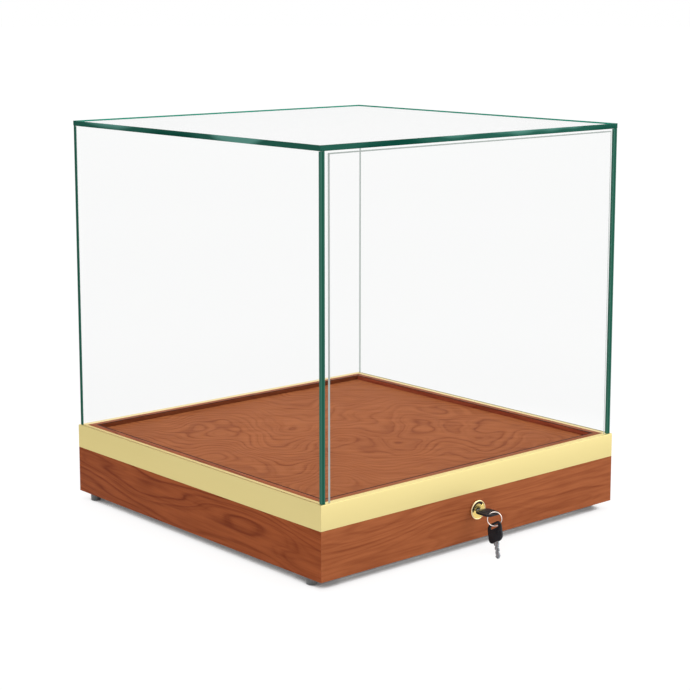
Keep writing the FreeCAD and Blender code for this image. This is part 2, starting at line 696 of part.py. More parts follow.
# Ring through the key's slot. Its plane is turned from the key's length, and it hangs on the bridge.
ring_angle = math.radians(number("ring_turn"))
ring_normal = Vector(math.cos(ring_angle), math.sin(ring_angle), 0)
ring_forward = Vector(math.sin(ring_angle), -math.cos(ring_angle), 0)
half_bridge = number("bow_bridge") / 2 / math.cos(ring_angle)
inner_reach = number("ring_radius - ring_wire / 2 - ring_play")
ring_drop = math.sqrt(inner_reach ** 2 - half_bridge ** 2)
ring_top = number("bow_thickness / 2")
ring_centre = bow_end + Vector(number("ring_shift"), number("bow_bridge / 2"), ring_top - ring_drop)
ring = doc.addObject("Part::Torus", "key_ring")
bind(ring, "Radius1", "ring_radius")
bind(ring, "Radius2", "ring_wire / 2")
ring.Placement = Placement(ring_centre, Rotation(Vector(0, 0, 1), ring_normal))
keep("key_ring", ring)

# Spare key on the bottom of the ring. It is twisted on the wire and leans until its tip meets the counter.
hang = ring_centre - Vector(0, 0, number("ring_radius"))
eye = number("bow_bridge + ring_wire / 2 + spare_play")
hang_length = number("bow_length + blade_length") - eye
spare_lean = math.acos((hang.z - number("spare_lift + blade_thickness / 2")) / hang_length)
down = Rotation(-ring_normal, Vector(0, 0, -1), ring_forward, "YZX")
twist = Rotation(Vector(0, 0, 1), -number("spare_twist"))
lean = Rotation(ring_forward, -math.degrees(spare_lean))
spare_turn = lean.multiply(twist).multiply(down)
spare_end = hang - spare_turn.multVec(Vector(0, eye, 0))
key("spare_key_bow", "spare_key_blade", Placement(spare_end, spare_turn))

doc.recompute()
faults = [item.Name for item in doc.Objects if {"Invalid", "Error"} & set(item.State)]
faults += [node for node, item in parts.items() if item.Shape.isNull() or not item.Shape.isValid()]
if faults:
    raise RuntimeError("not built: " + ", ".join(faults))
os.makedirs("parts", exist_ok=True)
for node, item in parts.items():
    item.Shape.exportStep(f"parts/{node}.step")
print(len(parts), "nodes written")
print("ring centre", ring_centre, "normal", ring_normal)
print("spare key hangs at", hang, "about", ring_forward, "leaning", round(math.degrees(spare_lean), 2))
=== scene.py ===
import json
import math

import bmesh
import bpy
import numpy as np
from mathutils import Matrix, Vector


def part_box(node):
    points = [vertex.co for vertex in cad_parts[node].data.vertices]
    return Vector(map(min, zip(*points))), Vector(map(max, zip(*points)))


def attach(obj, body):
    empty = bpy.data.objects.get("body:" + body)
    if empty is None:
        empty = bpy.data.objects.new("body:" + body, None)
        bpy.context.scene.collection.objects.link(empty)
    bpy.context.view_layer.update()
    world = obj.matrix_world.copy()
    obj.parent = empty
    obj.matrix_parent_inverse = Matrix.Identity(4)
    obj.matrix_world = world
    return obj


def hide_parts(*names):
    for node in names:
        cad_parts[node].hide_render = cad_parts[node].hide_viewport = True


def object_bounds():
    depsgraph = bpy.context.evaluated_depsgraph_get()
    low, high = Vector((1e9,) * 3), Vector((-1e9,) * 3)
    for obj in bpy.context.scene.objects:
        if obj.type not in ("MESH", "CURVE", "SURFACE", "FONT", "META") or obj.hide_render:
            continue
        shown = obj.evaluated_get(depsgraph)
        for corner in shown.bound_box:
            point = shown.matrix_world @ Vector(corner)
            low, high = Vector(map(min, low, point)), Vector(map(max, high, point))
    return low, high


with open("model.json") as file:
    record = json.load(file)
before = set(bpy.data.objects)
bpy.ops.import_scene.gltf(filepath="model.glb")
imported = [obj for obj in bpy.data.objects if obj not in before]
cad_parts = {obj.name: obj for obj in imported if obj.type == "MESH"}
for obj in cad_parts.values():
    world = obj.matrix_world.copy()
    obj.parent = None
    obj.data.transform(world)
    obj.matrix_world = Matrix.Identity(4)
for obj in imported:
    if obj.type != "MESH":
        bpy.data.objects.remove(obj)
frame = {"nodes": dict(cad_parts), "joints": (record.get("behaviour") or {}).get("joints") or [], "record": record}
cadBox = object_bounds()
print("frame loaded:", len(frame["nodes"]), "nodes")

joints = {joint["name"]: joint for joint in frame["joints"]}
mm = 0.001


# Meshes

def gridFaces(rows, cols, closeRows=False, closeCols=True):
    # quad (i, j) joins grid points (i, j), (i+1, j), (i+1, j+1), (i, j+1), wrapping round where closed
    i, j = np.meshgrid(np.arange(rows if closeRows else rows - 1),
                       np.arange(cols if closeCols else cols - 1), indexing="ij")
    down, on = (i + 1) % rows, (j + 1) % cols
    quads = [i * cols + j, down * cols + j, down * cols + on, i * cols + on]
    return np.stack(quads, -1).reshape(-1, 4)


def faceOutward(mesh, weld):
    # closes seams and poles where asked, then points every face outwards
    work = bmesh.new()
    work.from_mesh(mesh)
    if weld:
        bmesh.ops.remove_doubles(work, verts=work.verts, dist=2e-6)
        bmesh.ops.dissolve_degenerate(work, edges=work.edges, dist=1e-6)
    bmesh.ops.recalc_face_normals(work, faces=work.faces)
    work.to_mesh(mesh)
    work.free()


def addPiece(name, points, faces, body, materials, nodes=(), picks=None, crease=35, weld=True):
    # a mesh from points and faces, on a body, standing for CAD nodes; picks gives each face's material
    mesh = bpy.data.meshes.new(name)
    corners = [list(map(int, face)) for face in faces]
    mesh.from_pydata(np.asarray(points, float).reshape(-1, 3), [], corners)
    for material in materials:
        mesh.materials.append(material)
    if picks is not None:
        mesh.polygons.foreach_set("material_index", np.asarray(picks, np.int32))
    if weld:
        faceOutward(mesh, True)
    mesh.polygons.foreach_set("use_smooth", np.ones(len(mesh.polygons), bool))
    mesh.set_sharp_from_angle(angle=math.radians(crease))
    mesh.update()
    piece = bpy.data.objects.new(name, mesh)
    bpy.context.scene.collection.objects.link(piece)
    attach(piece, body)
    if nodes:
        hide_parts(*nodes)
    return piece


def pieceName(node):
    # a node's words, each with a capital, run together
    return node.replace("_", " ").title().replace(" ", "")


def softened(corners, radius, steps=4):
    # each corner becomes a parabola between the points one radius along its two sides
    p = np.asarray(corners, float)
    before, after = np.roll(p, 1, 0) - p, np.roll(p, -1, 0) - p
    r = np.broadcast_to(np.asarray(radius, float), len(p))[:, None]
    start = p + before / np.linalg.norm(before, axis=1, keepdims=True) * r
    end = p + after / np.linalg.norm(after, axis=1, keepdims=True) * r
    t = np.linspace(0, 1, steps)[None, :, None]
    curve = (1 - t) ** 2 * start[:, None] + 2 * t * (1 - t) * p[:, None] + t ** 2 * end[:, None]
    return curve.reshape(-1, 2)


def lathe(profile, centre, axis, side, count):
    # profile (radius, height) turned about the axis: centre + height * axis + radius * (cos, sin),
    # counted from the side
    axis, side = np.array(axis, float), np.array(side, float)
    across = np.cross(axis, side)
    turn = np.linspace(0, 2 * np.pi, count, endpoint=False)[None, :, None]
    radius, height = profile[:, 0, None, None], profile[:, 1, None, None]
    return np.asarray(centre) + height * axis + radius * (np.cos(turn) * side + np.sin(turn) * across)


# Materials

def newMaterial(name):
    # a node material with its surface shader
    material = bpy.data.materials.new(name)
    material.use_nodes = True
    tree = material.node_tree
    return material, tree, tree.nodes["Principled BSDF"]


def fill(tree, node, **inputs):
    # a socket value or a link for each named input; i0, i1 and so on count the sockets
    for key, value in inputs.items():
        counted = key[0] == "i" and key[1:].isdigit()
        socket = node.inputs[int(key[1:]) if counted else key.replace("_", " ")]
        if isinstance(value, bpy.types.NodeSocket):
            tree.links.new(value, socket)
        else:
            socket.default_value = value


def put(tree, kind, settings=None, **inputs):
    # a node with its settings and its inputs
    node = tree.nodes.new(kind)
    for key, value in (settings or {}).items():
        setattr(node, key, value)
    fill(tree, node, **inputs)
    return node


def surface(tree, shader):
    # the shader becomes the material's surface
    tree.links.new(shader.outputs[0], tree.nodes["Material Output"].inputs["Surface"])


def maths(tree, operation, first, second=0.0, third=0.0):
    # one sum of up to three terms
    node = put(tree, "ShaderNodeMath", {"operation": operation}, i0=first, i1=second, i2=third)
    return node.outputs[0]


def weighed(tree, first, firstShare, second, secondShare):
    # first * its share + second * its share
    return maths(tree, "ADD", maths(tree, "MULTIPLY", first, firstShare),
                 maths(tree, "MULTIPLY", second, secondShare))


def apart(tree, value, middle, share, base):
    # base + (value - middle) * share
    return maths(tree, "MULTIPLY_ADD", maths(tree, "SUBTRACT", value, middle), share, base)


def eased(tree, value, low, high, end):
    # 0 below low, the end value above high, and a smooth step between
    return put(tree, "ShaderNodeMapRange", {"interpolation_type": "SMOOTHSTEP"},
               i0=value, i1=low, i2=high, i3=0.0, i4=end).outputs[0]


def lengthOf(tree, vector):
    # the vector's length
    return put(tree, "ShaderNodeVectorMath", {"operation": "LENGTH"}, i0=vector).outputs["Value"]


def ramp(tree, factor, stops):
    # colours at their places, straight lines between
    node = put(tree, "ShaderNodeValToRGB", None, Fac=factor)
    while len(node.color_ramp.elements) < len(stops):
        node.color_ramp.elements.new(0.5)
    for element, (place, colour) in zip(node.color_ramp.elements, stops):
        element.position = place
        element.color = (*colour, 1)
    return node.outputs["Color"]


def spread(tree, scale, turn=(0, 0, 0), shift=(0, 0, 0), source=None):
    # object coordinates, turned, shifted and stretched
    if source is None:
        source = put(tree, "ShaderNodeTexCoord").outputs["Object"]
    turned = put(tree, "ShaderNodeMapping", None, Vector=source, Location=shift, Rotation=turn)
    return put(tree, "ShaderNodeMapping", None, Vector=turned.outputs[0], Scale=scale).outputs[0]


def noise(tree, where, detail, rough=0.5):
    # noise with one swell for each unit of the coordinates
    node = put(tree, "ShaderNodeTexNoise", None, Vector=where, Scale=1, Detail=detail, Roughness=rough)
    return node.outputs["Fac"]


def speckle(tree, rate, detail, rough=0.5):
    # noise with the same rate for each metre in all directions
    return noise(tree, spread(tree, (rate,) * 3), detail, rough)


def bump(tree, bsdf, height, depth, strength):
    # the surface rises by height * depth
    node = put(tree, "ShaderNodeBump", None, Height=height, Distance=depth, Strength=strength)
    tree.links.new(node.outputs[0], bsdf.inputs["Normal"])


def shade(colour, share):
    # each channel times the share
    return tuple(c * share for c in colour)


def toned(colour, tone):
    # each channel times its own tone
    return tuple(c * t for c, t in zip(colour, tone))


cherryLook = {
    "light": (0.412, 0.112, 0.0360), "dark": (0.212, 0.043, 0.0125),
    "fibreAlong": 9, "fibreAcross": 420, "fibre": 0.85, "fleck": 0.95, "cloud": 0.42, "cloudLevel": 0.20,
    "line": [(0.0, 0.32), (0.14, 0.04), (0.45, 0.10), (0.70, 0.34), (0.90, 1.0), (1.0, 0.32)],
    "finer": 0.45, "finerRate": 2.6, "finerRipple": 2.0, "finerPower": 3.0,
    "rippleStretch": (2.6, 3.2), "cloudStretch": (0.8, 1.3), "fadeStretch": (0.9, 0.8),
    "fadeShift": (3.1, 1.7, 0.4), "fadeFrom": 0.30, "fadeTo": 0.62, "faint": 0.45,
    "rough": 0.36, "roughSpread": 0.16, "pore": 0.06 * mm, "poreShare": 0.25,
}


def cherry(name, axes, figure):
    # laminate figure: thin dark contour lines of across * lines + slow swirls, on a flecked, streaked
    # ground; axes are the board's directions along the grain and across it
    look = cherryLook
    material, tree, bsdf = newMaterial(name)
    along = Vector(axes[0]).normalized()
    into = along.cross(Vector(axes[1])).normalized()
    turn = Matrix((along, into.cross(along), into)).to_euler()
    board = spread(tree, (1, 1, 1), turn, figure["shift"])
    long, wide = figure["swirl"]

    def grain(alongRate, acrossRate, detail, rough=0.5, shift=(0, 0, 0)):
        # noise with its own rates along the grain and across it
        rates = (alongRate, acrossRate, acrossRate)
        return noise(tree, spread(tree, rates, shift=shift, source=board), detail, rough)

    def swirls(stretch, *settings):
        # noise at the swirl's rates times the stretch
        return grain(long * stretch[0], wide * stretch[1], *settings)

    swirl = grain(long, wide, figure["curl"], 0.35)
    ripple = swirls(look["rippleStretch"], 1.0, 0.4)
    across = put(tree, "ShaderNodeSeparateXYZ", None, Vector=board).outputs["Y"]
    level = maths(tree, "MULTIPLY", across, figure["lines"])
    level = maths(tree, "MULTIPLY_ADD", swirl, figure["depth"], level)
    level = maths(tree, "MULTIPLY_ADD", ripple, figure["ripple"], level)
    lines = [(place, (tone,) * 3) for place, tone in look["line"]]
    band = ramp(tree, maths(tree, "FRACT", level), lines)
    finer = maths(tree, "MULTIPLY", level, look["finerRate"])
    finer = maths(tree, "MULTIPLY_ADD", ripple, look["finerRipple"], finer)
    finer = maths(tree, "POWER", maths(tree, "PINGPONG", finer, 1.0), look["finerPower"])
    band = maths(tree, "MULTIPLY_ADD", finer, look["finer"], band)
    fibre = grain(look["fibreAlong"], look["fibreAcross"], 4, 0.6)
    fleck = grain(*figure["fleck"], 2, 0.55)
    cloud = swirls(look["cloudStretch"], 2)
    # how strongly a line shows changes over the board
    fade = ramp(tree, swirls(look["fadeStretch"], 1, 0.5, look["fadeShift"]),
                [(look["fadeFrom"], (look["faint"],) * 3), (look["fadeTo"], (1.0,) * 3)])
    depth = maths(tree, "MULTIPLY", maths(tree, "MULTIPLY", band, fade), figure["contrast"])
    depth = apart(tree, fibre, 0.5, look["fibre"], depth)
    depth = apart(tree, fleck, 0.5, look["fleck"], depth)
    depth = apart(tree, cloud, look["cloudLevel"], look["cloud"], depth)
    light, dark = (toned(look[end], figure["tone"]) for end in ("light", "dark"))
    fill(tree, bsdf, Base_Color=ramp(tree, depth, [(0.0, light), (1.0, dark)]),
         Roughness=maths(tree, "MULTIPLY_ADD", fibre, look["roughSpread"], look["rough"]),
         Specular_IOR_Level=figure["sheen"])
    bump(tree, bsdf, fibre, look["pore"], look["poreShare"])
    return material


goldLook = {
    "colour": (0.664, 0.558, 0.252), "pale": (0.716, 0.614, 0.297), "edge": (0.98, 0.91, 0.63),
    "brush": (5, 5, 1400), "brushShare": 0.35, "broad": (3, 3, 12), "broadShare": 0.5,
    "colourAt": 0.2, "paleAt": 0.75, "rough": 0.41, "roughSpread": 0.14, "groove": 0.03 * mm,
}


def satinGold(name, lift):
    # brushed gold, its colours multiplied by the lift, which above 1 paints a highlight; the brush draws fine
    # lines along each rail
    look = goldLook
    material, tree, bsdf = newMaterial(name)
    brush = noise(tree, spread(tree, look["brush"]), 3, 0.6)
    broad = noise(tree, spread(tree, look["broad"]), 2)
    tone = weighed(tree, brush, look["brushShare"], broad, look["broadShare"])
    stops = [(look[end + "At"], np.minimum(toned(look[end], lift), 1.0)) for end in ("colour", "pale")]
    fill(tree, bsdf, Base_Color=ramp(tree, tone, stops), Metallic=1.0, Specular_Tint=(*look["edge"], 1),
         Roughness=maths(tree, "MULTIPLY_ADD", brush, look["roughSpread"], look["rough"]))
    bump(tree, bsdf, brush, look["groove"], 0.5)
    return material


metalLook = {"patch": 90, "dimAt": 0.3, "fullAt": 0.7, "roughSpread": 0.2}


def metal(name, colour, rough, rate, depth=0.02 * mm, vary=0.12, bright=1.0):
    # bare metal: the colour falls by up to the vary share, half with a grain and half in patches
    look = metalLook
    material, tree, bsdf = newMaterial(name)
    grain = speckle(tree, rate, 4, 0.6)
    tone = weighed(tree, grain, 0.5, speckle(tree, look["patch"], 2), 0.5)
    stops = [(look["dimAt"], shade(colour, 1 - vary)), (look["fullAt"], colour)]
    spreadOut = look["roughSpread"]
    fill(tree, bsdf, Base_Color=ramp(tree, tone, stops), Metallic=bright,
         Roughness=maths(tree, "MULTIPLY_ADD", grain, spreadOut, rough - spreadOut / 2))
    bump(tree, bsdf, grain, depth, 0.5)
    return material


brassLook = {
    "turning": 21000, "turningShare": 0.12, "patch": 260, "dim": 0.84, "dimAt": 0.3, "fullAt": 0.7,
    "rag": 420, "ragShare": 0.9, "wellEdge": (1.15, 1.55), "rough": 0.10, "roughSpread": 0.16,
    "wellTones": [(0.0, 0.07), (0.35, 0.34), (0.65, 0.84), (0.85, 1.0)], "groove": 0.012 * mm,
}


def turnedBrass(name, colour, centre, well=None):
    # turning marks are rings of distance from the lock's axis; a well is a dark oval round the keyway
    look = brassLook
    material, tree, bsdf = newMaterial(name)
    radius = lengthOf(tree, spread(tree, (1, 0, 1), shift=(-centre[0], 0, -centre[2])))
    wave = maths(tree, "SINE", maths(tree, "MULTIPLY", radius, look["turning"]))
    patch = speckle(tree, look["patch"], 3)
    tone = maths(tree, "MULTIPLY_ADD", wave, look["turningShare"], patch)
    stops = [(look["dimAt"], shade(colour, look["dim"])), (look["fullAt"], colour)]
    if well:
        inverse = (1 / well["half"][0], 0, 1 / well["half"][1])
        oval = spread(tree, inverse, shift=(-centre[0], 0, -centre[2] - well["rise"]))
        ragged = maths(tree, "MULTIPLY_ADD", speckle(tree, look["rag"], 2), look["ragShare"],
                       lengthOf(tree, oval))
        clear = eased(tree, ragged, *look["wellEdge"], 1.0)
        tone = maths(tree, "MULTIPLY", maths(tree, "MULTIPLY_ADD", tone, 0.5, 0.5), clear)
        stops = [(place, shade(colour, share)) for place, share in look["wellTones"]]
    fill(tree, bsdf, Base_Color=ramp(tree, tone, stops), Metallic=1.0,
         Roughness=maths(tree, "MULTIPLY_ADD", patch, look["roughSpread"], look["rough"]))
    bump(tree, bsdf, wave, look["groove"], 0.5)
    return material


mouldLook = {"cloud": 140, "dim": 0.8, "dimAt": 0.3, "bright": 1.25, "brightAt": 0.75, "roughSpread": 0.18}


def moulded(name, colour, rough, rate, depth, sheen):
    # moulded plastic or rubber with a fine spark-eroded grain
    look = mouldLook
    material, tree, bsdf = newMaterial(name)
    pebble = speckle(tree, rate, 2)
    stops = [(look[end + "At"], shade(colour, look[end])) for end in ("dim", "bright")]
    spreadOut = look["roughSpread"]
    fill(tree, bsdf, Base_Color=ramp(tree, speckle(tree, look["cloud"], 2), stops),
         Roughness=maths(tree, "MULTIPLY_ADD", pebble, spreadOut, rough - spreadOut / 2),
         Specular_IOR_Level=sheen)
    bump(tree, bsdf, pebble, depth, 0.6)
    return material


boardLook = {
    "fleck": 700, "fleckShare": 0.6, "cloud": 22, "cloudShare": 0.4, "rough": 0.85, "sheen": 0.15,
    "stops": [(0.3, (0.245, 0.150, 0.080)), (0.7, (0.400, 0.272, 0.160))], "grain": 0.1 * mm,
}


def bareBoard():
    # fibreboard: fine flecks and slow clouds, added by their shares
    look = boardLook
    material, tree, bsdf = newMaterial("bareBoard")
    fleck = speckle(tree, look["fleck"], 4, 0.7)
    tone = weighed(tree, fleck, look["fleckShare"], speckle(tree, look["cloud"], 3), look["cloudShare"])
    fill(tree, bsdf, Base_Color=ramp(tree, tone, look["stops"]), Roughness=look["rough"],
         Specular_IOR_Level=look["sheen"])
    bump(tree, bsdf, fleck, look["grain"], 0.5)
    return material


glassLook = {
    "tint": (0.9800, 0.9812, 0.9806), "graze": 0.6, "rises": (0.6, 1.0), "bondGraze": 0.02,
    "topTint": (0.990, 0.992, 0.991), "topGraze": 0.945, "topRises": (0.35, 0.66),
    "mirror": (0.982, 0.984, 0.983), "smudge": 9, "smudgeRough": 0.03,
    "deep": (0.016, 0.094, 0.062), "mid": (0.043, 0.150, 0.110), "light": (0.052, 0.172, 0.126),
    "rimDeep": (0.0048, 0.066, 0.044), "rimMid": (0.021, 0.112, 0.080), "rimLight": (0.120, 0.320, 0.265),
    "rimWander": 2.2, "rimBand": 0.25, "grey": (0.40, 0.44, 0.42), "line": (0.022, 0.24, 0.165),
    "glint": (0.55, 0.78, 0.72), "glintThrough": 0.35, "foot": (0.30, 0.24, 0.11),
    "drift": 7, "wander": 0.30, "rough": 0.08, "roughSpread": 0.10, "through": (0.93, 0.97, 0.955),
    "glow": (0.50, 0.56, 0.53), "glowRough": 0.05, "index": 1.45, "outside": 0.12,
}


def glassFace(name, tint, graze, rises):
    # a thin clear sheet: it lets light straight through and mirrors more at grazing angles
    look = glassLook
    material, tree, bsdf = newMaterial(name)
    tree.nodes.remove(bsdf)
    facing = put(tree, "ShaderNodeLayerWeight", None, Blend=0.5).outputs["Facing"]
    mirror = eased(tree, facing, *rises, graze)
    clear = put(tree, "ShaderNodeBsdfTransparent", None, Color=(*tint, 1))
    smudge = maths(tree, "MULTIPLY", speckle(tree, look["smudge"], 3), look["smudgeRough"])
    gloss = put(tree, "ShaderNodeBsdfGlossy", None, Color=(*look["mirror"], 1), Roughness=smudge)
    surface(tree, put(tree, "ShaderNodeMixShader", None, i0=mirror, i1=clear.outputs[0], i2=gloss.outputs[0]))
    return material


def glassEdge(name, stops, through=0.0, wander=glassLook["wander"], band=1.0):
    # a polished cut edge: green in the depth of the sheet, mirror bright from inside; its tone follows
    # v across the sheet times the band, and wanders along the edge
    look = glassLook
    material, tree, bsdf = newMaterial(name)
    sheet = put(tree, "ShaderNodeTexCoord").outputs["UV"]
    across = put(tree, "ShaderNodeSeparateXYZ", None, Vector=sheet).outputs["Y"]
    drift = speckle(tree, look["drift"], 2)
    where = apart(tree, drift, 0.5, wander, apart(tree, across, 0.5, band, 0.5))
    fill(tree, bsdf, Base_Color=ramp(tree, where, stops), Specular_IOR_Level=0.0,
         Roughness=maths(tree, "MULTIPLY_ADD", drift, look["roughSpread"], look["rough"]))
    glow = put(tree, "ShaderNodeBsdfGlossy", None, Color=(*look["glow"], 1), Roughness=look["glowRough"])
    # the share over the outside's own few percent: full where the inside mirrors wholly
    fresnel = put(tree, "ShaderNodeFresnel", None, IOR=look["index"]).outputs[0]
    inside = maths(tree, "SUBTRACT", fresnel, look["outside"])
    mix = put(tree, "ShaderNodeMixShader", None, i0=inside, i1=bsdf.outputs[0], i2=glow.outputs[0])
    if through:
        clear = put(tree, "ShaderNodeBsdfTransparent", None, Color=(*look["through"], 1))
        mix = put(tree, "ShaderNodeMixShader", None, i0=through, i1=mix.outputs[0], i2=clear.outputs[0])
    surface(tree, mix)
    return material


# Case measures, read from the CAD boxes

walls = {side: np.array(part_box(side + "_wall")) for side in ("front", "right", "back", "left")}
frontY, backY = walls["front"][0][1], walls["back"][1][1]
halfX, halfY = walls["right"][1][0], (backY - frontY) / 2
caseMid = np.array([0.0, (frontY + backY) / 2, 0.0])
footZ, rimZ = walls["front"][0][2], walls["front"][1][2]
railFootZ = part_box("front_rail")[0][2]
lockBox = np.array(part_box("lock_body"))
lockCentre = np.array([(lockBox[0][0] + lockBox[1][0]) / 2, frontY, (lockBox[0][2] + lockBox[1][2]) / 2])

quarterTurns = {"front": 0, "right": 1, "back": 2, "left": 3}
sideBody = {"front": "pull_out", "right": "case", "back": "case", "left": "case"}


def mitredBar(side, profile, gap):
    # a (depth, height) profile carried along one side; its ends follow the 45 degree mitre, s = half - depth
    half, reach = (halfX, halfY) if side in ("front", "back") else (halfY, halfX)
    depth, height = profile[:, 0], profile[:, 1]
    start = depth - half + (gap if side == "right" else 0)
    end = half - depth - (gap if side == "left" else 0)
    along = np.stack([start, start * 0.5 + end * 0.5, end])
    local = np.stack(np.broadcast_arrays(along, depth - reach, height), -1)
    turn = np.array(Matrix.Rotation(quarterTurns[side] * math.pi / 2, 3, "Z"))
    count = len(profile)
    faces = [*gridFaces(3, count), np.arange(count)[::-1], np.arange(count) + 2 * count]
    return local @ turn.T + caseMid, faces


def barPicks(pick):
    # the profile's material numbers along both halves of a bar, and 0 on its two ends
    return np.concatenate([np.tile(pick, 2), [0, 0]]).astype(int)


# Rails: pale gold angle with a rounded top edge; the flange's upper face is painted paler as a highlight, by side

railSpec = {
    "thickness": 1.5 * mm, "flange": 8 * mm, "mitreGap": 0.08 * mm,
    "soft": [0.2, 0.8, 0.35, 0.3, 0.6, 0.2], "softSteps": 6,
    # the flange's painted highlight: a lift of the gold for each side, strongest on the far sides
    "flangeHighlight": {"front": (1.38, 1.38, 1.55), "right": (1.50, 1.46, 1.95),
                   "back": (1.50, 1.46, 1.95), "left": (1.18, 1.12, 1.25)},
}


def buildRails(gold):
    # an angle's profile on each side; the second to third corners hold the flange's face and inner edge
    spec = railSpec
    t, f, steps = spec["thickness"], spec["flange"], spec["softSteps"]
    corners = [(0, railFootZ), (0, rimZ), (f, rimZ), (f, rimZ - t), (t, rimZ - t), (t, railFootZ)]
    profile = softened(corners, np.array(spec["soft"]) * mm, steps)
    column = np.arange(len(profile))
    picks = barPicks((column >= 2 * steps - 1) & (column < 3 * steps - 1))
    for side in quarterTurns:
        points, faces = mitredBar(side, profile, spec["mitreGap"])
        # the flange's face is a copy of the gold with a painted highlight
        flange = satinGold(side + "FlangeHighlightGold", spec["flangeHighlight"][side])
        addPiece(side + "Rail", points, faces, sideBody[side], [gold, flange],
                 [side + "_rail"], picks, crease=50)
    print("rails built")


# Walls: cherry laminate on board, rebated for the rail

wallSpec = {
    "thickness": 18 * mm, "darkLine": 2.5 * mm, "hair": 0.1 * mm,
    "soft": [0.5, 0.3, 0.1, 0.1, 0.1, 0.15, 0.0, 0.6, 0.4],
    # the dark strip on the ledge's inner edge is a painted shadow line
    "shadowLine": (0.040, 0.012, 0.006), "shadowLineRough": 0.6, "shadowLineGrain": 600, "shadowLineDepth": 0.03 * mm,
    "shadowLineSheen": 0.05, "swirl": (3.4, 16.0), "curl": 1.0, "depth": 13.0, "ripple": 1.6, "lines": 90.0,
    "fleck": (20, 190), "sheen": 0.04,
    "contrast": {"front": 0.42, "right": 0.44, "back": 0.44, "left": 0.70},
    # each side's tone paints how light falls on it: the front's paler, bluer tone is painted sheen, the left's
    # deeper tone painted shade
    "tone": {"front": (0.97, 1.07, 1.20), "right": (1.0, 1.05, 1.10),
             "back": (1.0, 1.0, 1.0), "left": (1.0, 0.93, 0.88)},
    # the inner faces under the ledge take painted light and shade by side, darkest on the front and left
    "innerPaintedShading": {"front": (0.45, 0.40, 0.40), "right": (1.08, 0.88, 1.28),
                  "back": (0.50, 0.46, 0.48), "left": (0.45, 0.40, 0.40)},
    "shift": {"front": (0.42, 0.11, 0.3), "right": (1.31, 0.52, 0.7),
              "back": (2.27, 0.81, 1.2), "left": (3.16, 0.34, 1.9)},
    "tilt": {"front": 0.012, "right": -0.02, "back": 0.02, "left": -0.02},
    "along": {"front": (1, 0), "right": (0, 1), "back": (-1, 0), "left": (0, -1)},
}


def buildWalls():
    # a rebated board on each side, its grain along the wall and a little out of level
    spec = wallSpec
    t, r, f = spec["thickness"], railSpec["thickness"], railSpec["flange"]
    ledge = t - spec["darkLine"]
    corners = [(0, footZ), (0, railFootZ), (r, railFootZ), (r, rimZ - r), (f, rimZ - r), (f, rimZ),
               (ledge, rimZ), (t, rimZ), (t, footZ)]
    profile = softened(corners, np.array(spec["soft"]) * mm)
    # the ledge ends in a dark strip, a painted shadow line for the gap to the deck, and the inner face below it
    # takes a darker copy of the cherry as painted shade
    strip = profile[:, 0] > ledge - 0.01 * spec["hair"]
    below = strip & (profile[:, 1] < rimZ - spec["hair"])
    picks = barPicks((strip & np.roll(strip, -1)).astype(int) + (below & np.roll(below, -1)))
    shadowLine = moulded("ledgeShadowLine", spec["shadowLine"], spec["shadowLineRough"], spec["shadowLineGrain"],
                    spec["shadowLineDepth"], spec["shadowLineSheen"])
    for side in quarterTurns:
        points, faces = mitredBar(side, profile, railSpec["mitreGap"])
        grain = ((*spec["along"][side], spec["tilt"][side]), (0, 0, 1))
        figure = {**spec, **{key: spec[key][side] for key in ("shift", "tone", "contrast")}}
        # the side's tone paints its light: sheen on the front, shade on the left
        wood = cherry(side + "WallCherry", grain, figure)
        # the inner face is a darker copy of the cherry, painted shade
        inner = cherry(side + "InnerShadedCherry", grain, {**figure, "tone": spec["innerPaintedShading"][side]})
        addPiece(side + "Wall", points, faces, sideBody[side], [wood, shadowLine, inner],
                 [side + "_wall"], picks, crease=40)
    print("walls built")


# Glass: each pane has a fine ground arris on its edges; bonded edges stay clear, open cut edges are green

paneSpec = {
    "arris": 0.5 * mm, "cutArris": 2.8 * mm, "looseArris": [0.5 * mm, 1.7 * mm, 1.4 * mm, 2.2 * mm],
    "step": 0.45 * mm, "backStep": 1.7 * mm, "lip": {"land": 0.7 * mm, "height": 0.9 * mm, "arris": 0.3 * mm},
    "bond": {"glass_back": ["hood_bond_strips"], "glass_front": ["front_bond_strip"]},
    "panes": {
        "glass_left": ("case", 0, "bond clear clear cut"),
        "glass_right": ("case", 0, "bond clear clear cut"),
        "glass_back": ("case", 1, "bond cut clear cut"),
        "glass_top": ("case", 2, "rim rim rim rim"),
        "glass_front": ("pull_out", 1, "bond clear clear clear"),
    },
    "lift": 0.06 * mm, "footRow": {"glass_left": 0, "glass_right": 2},
    "kinds": ["clear", "cut", "pale", "foot", "glint", "rim", "bond", "line"],
}


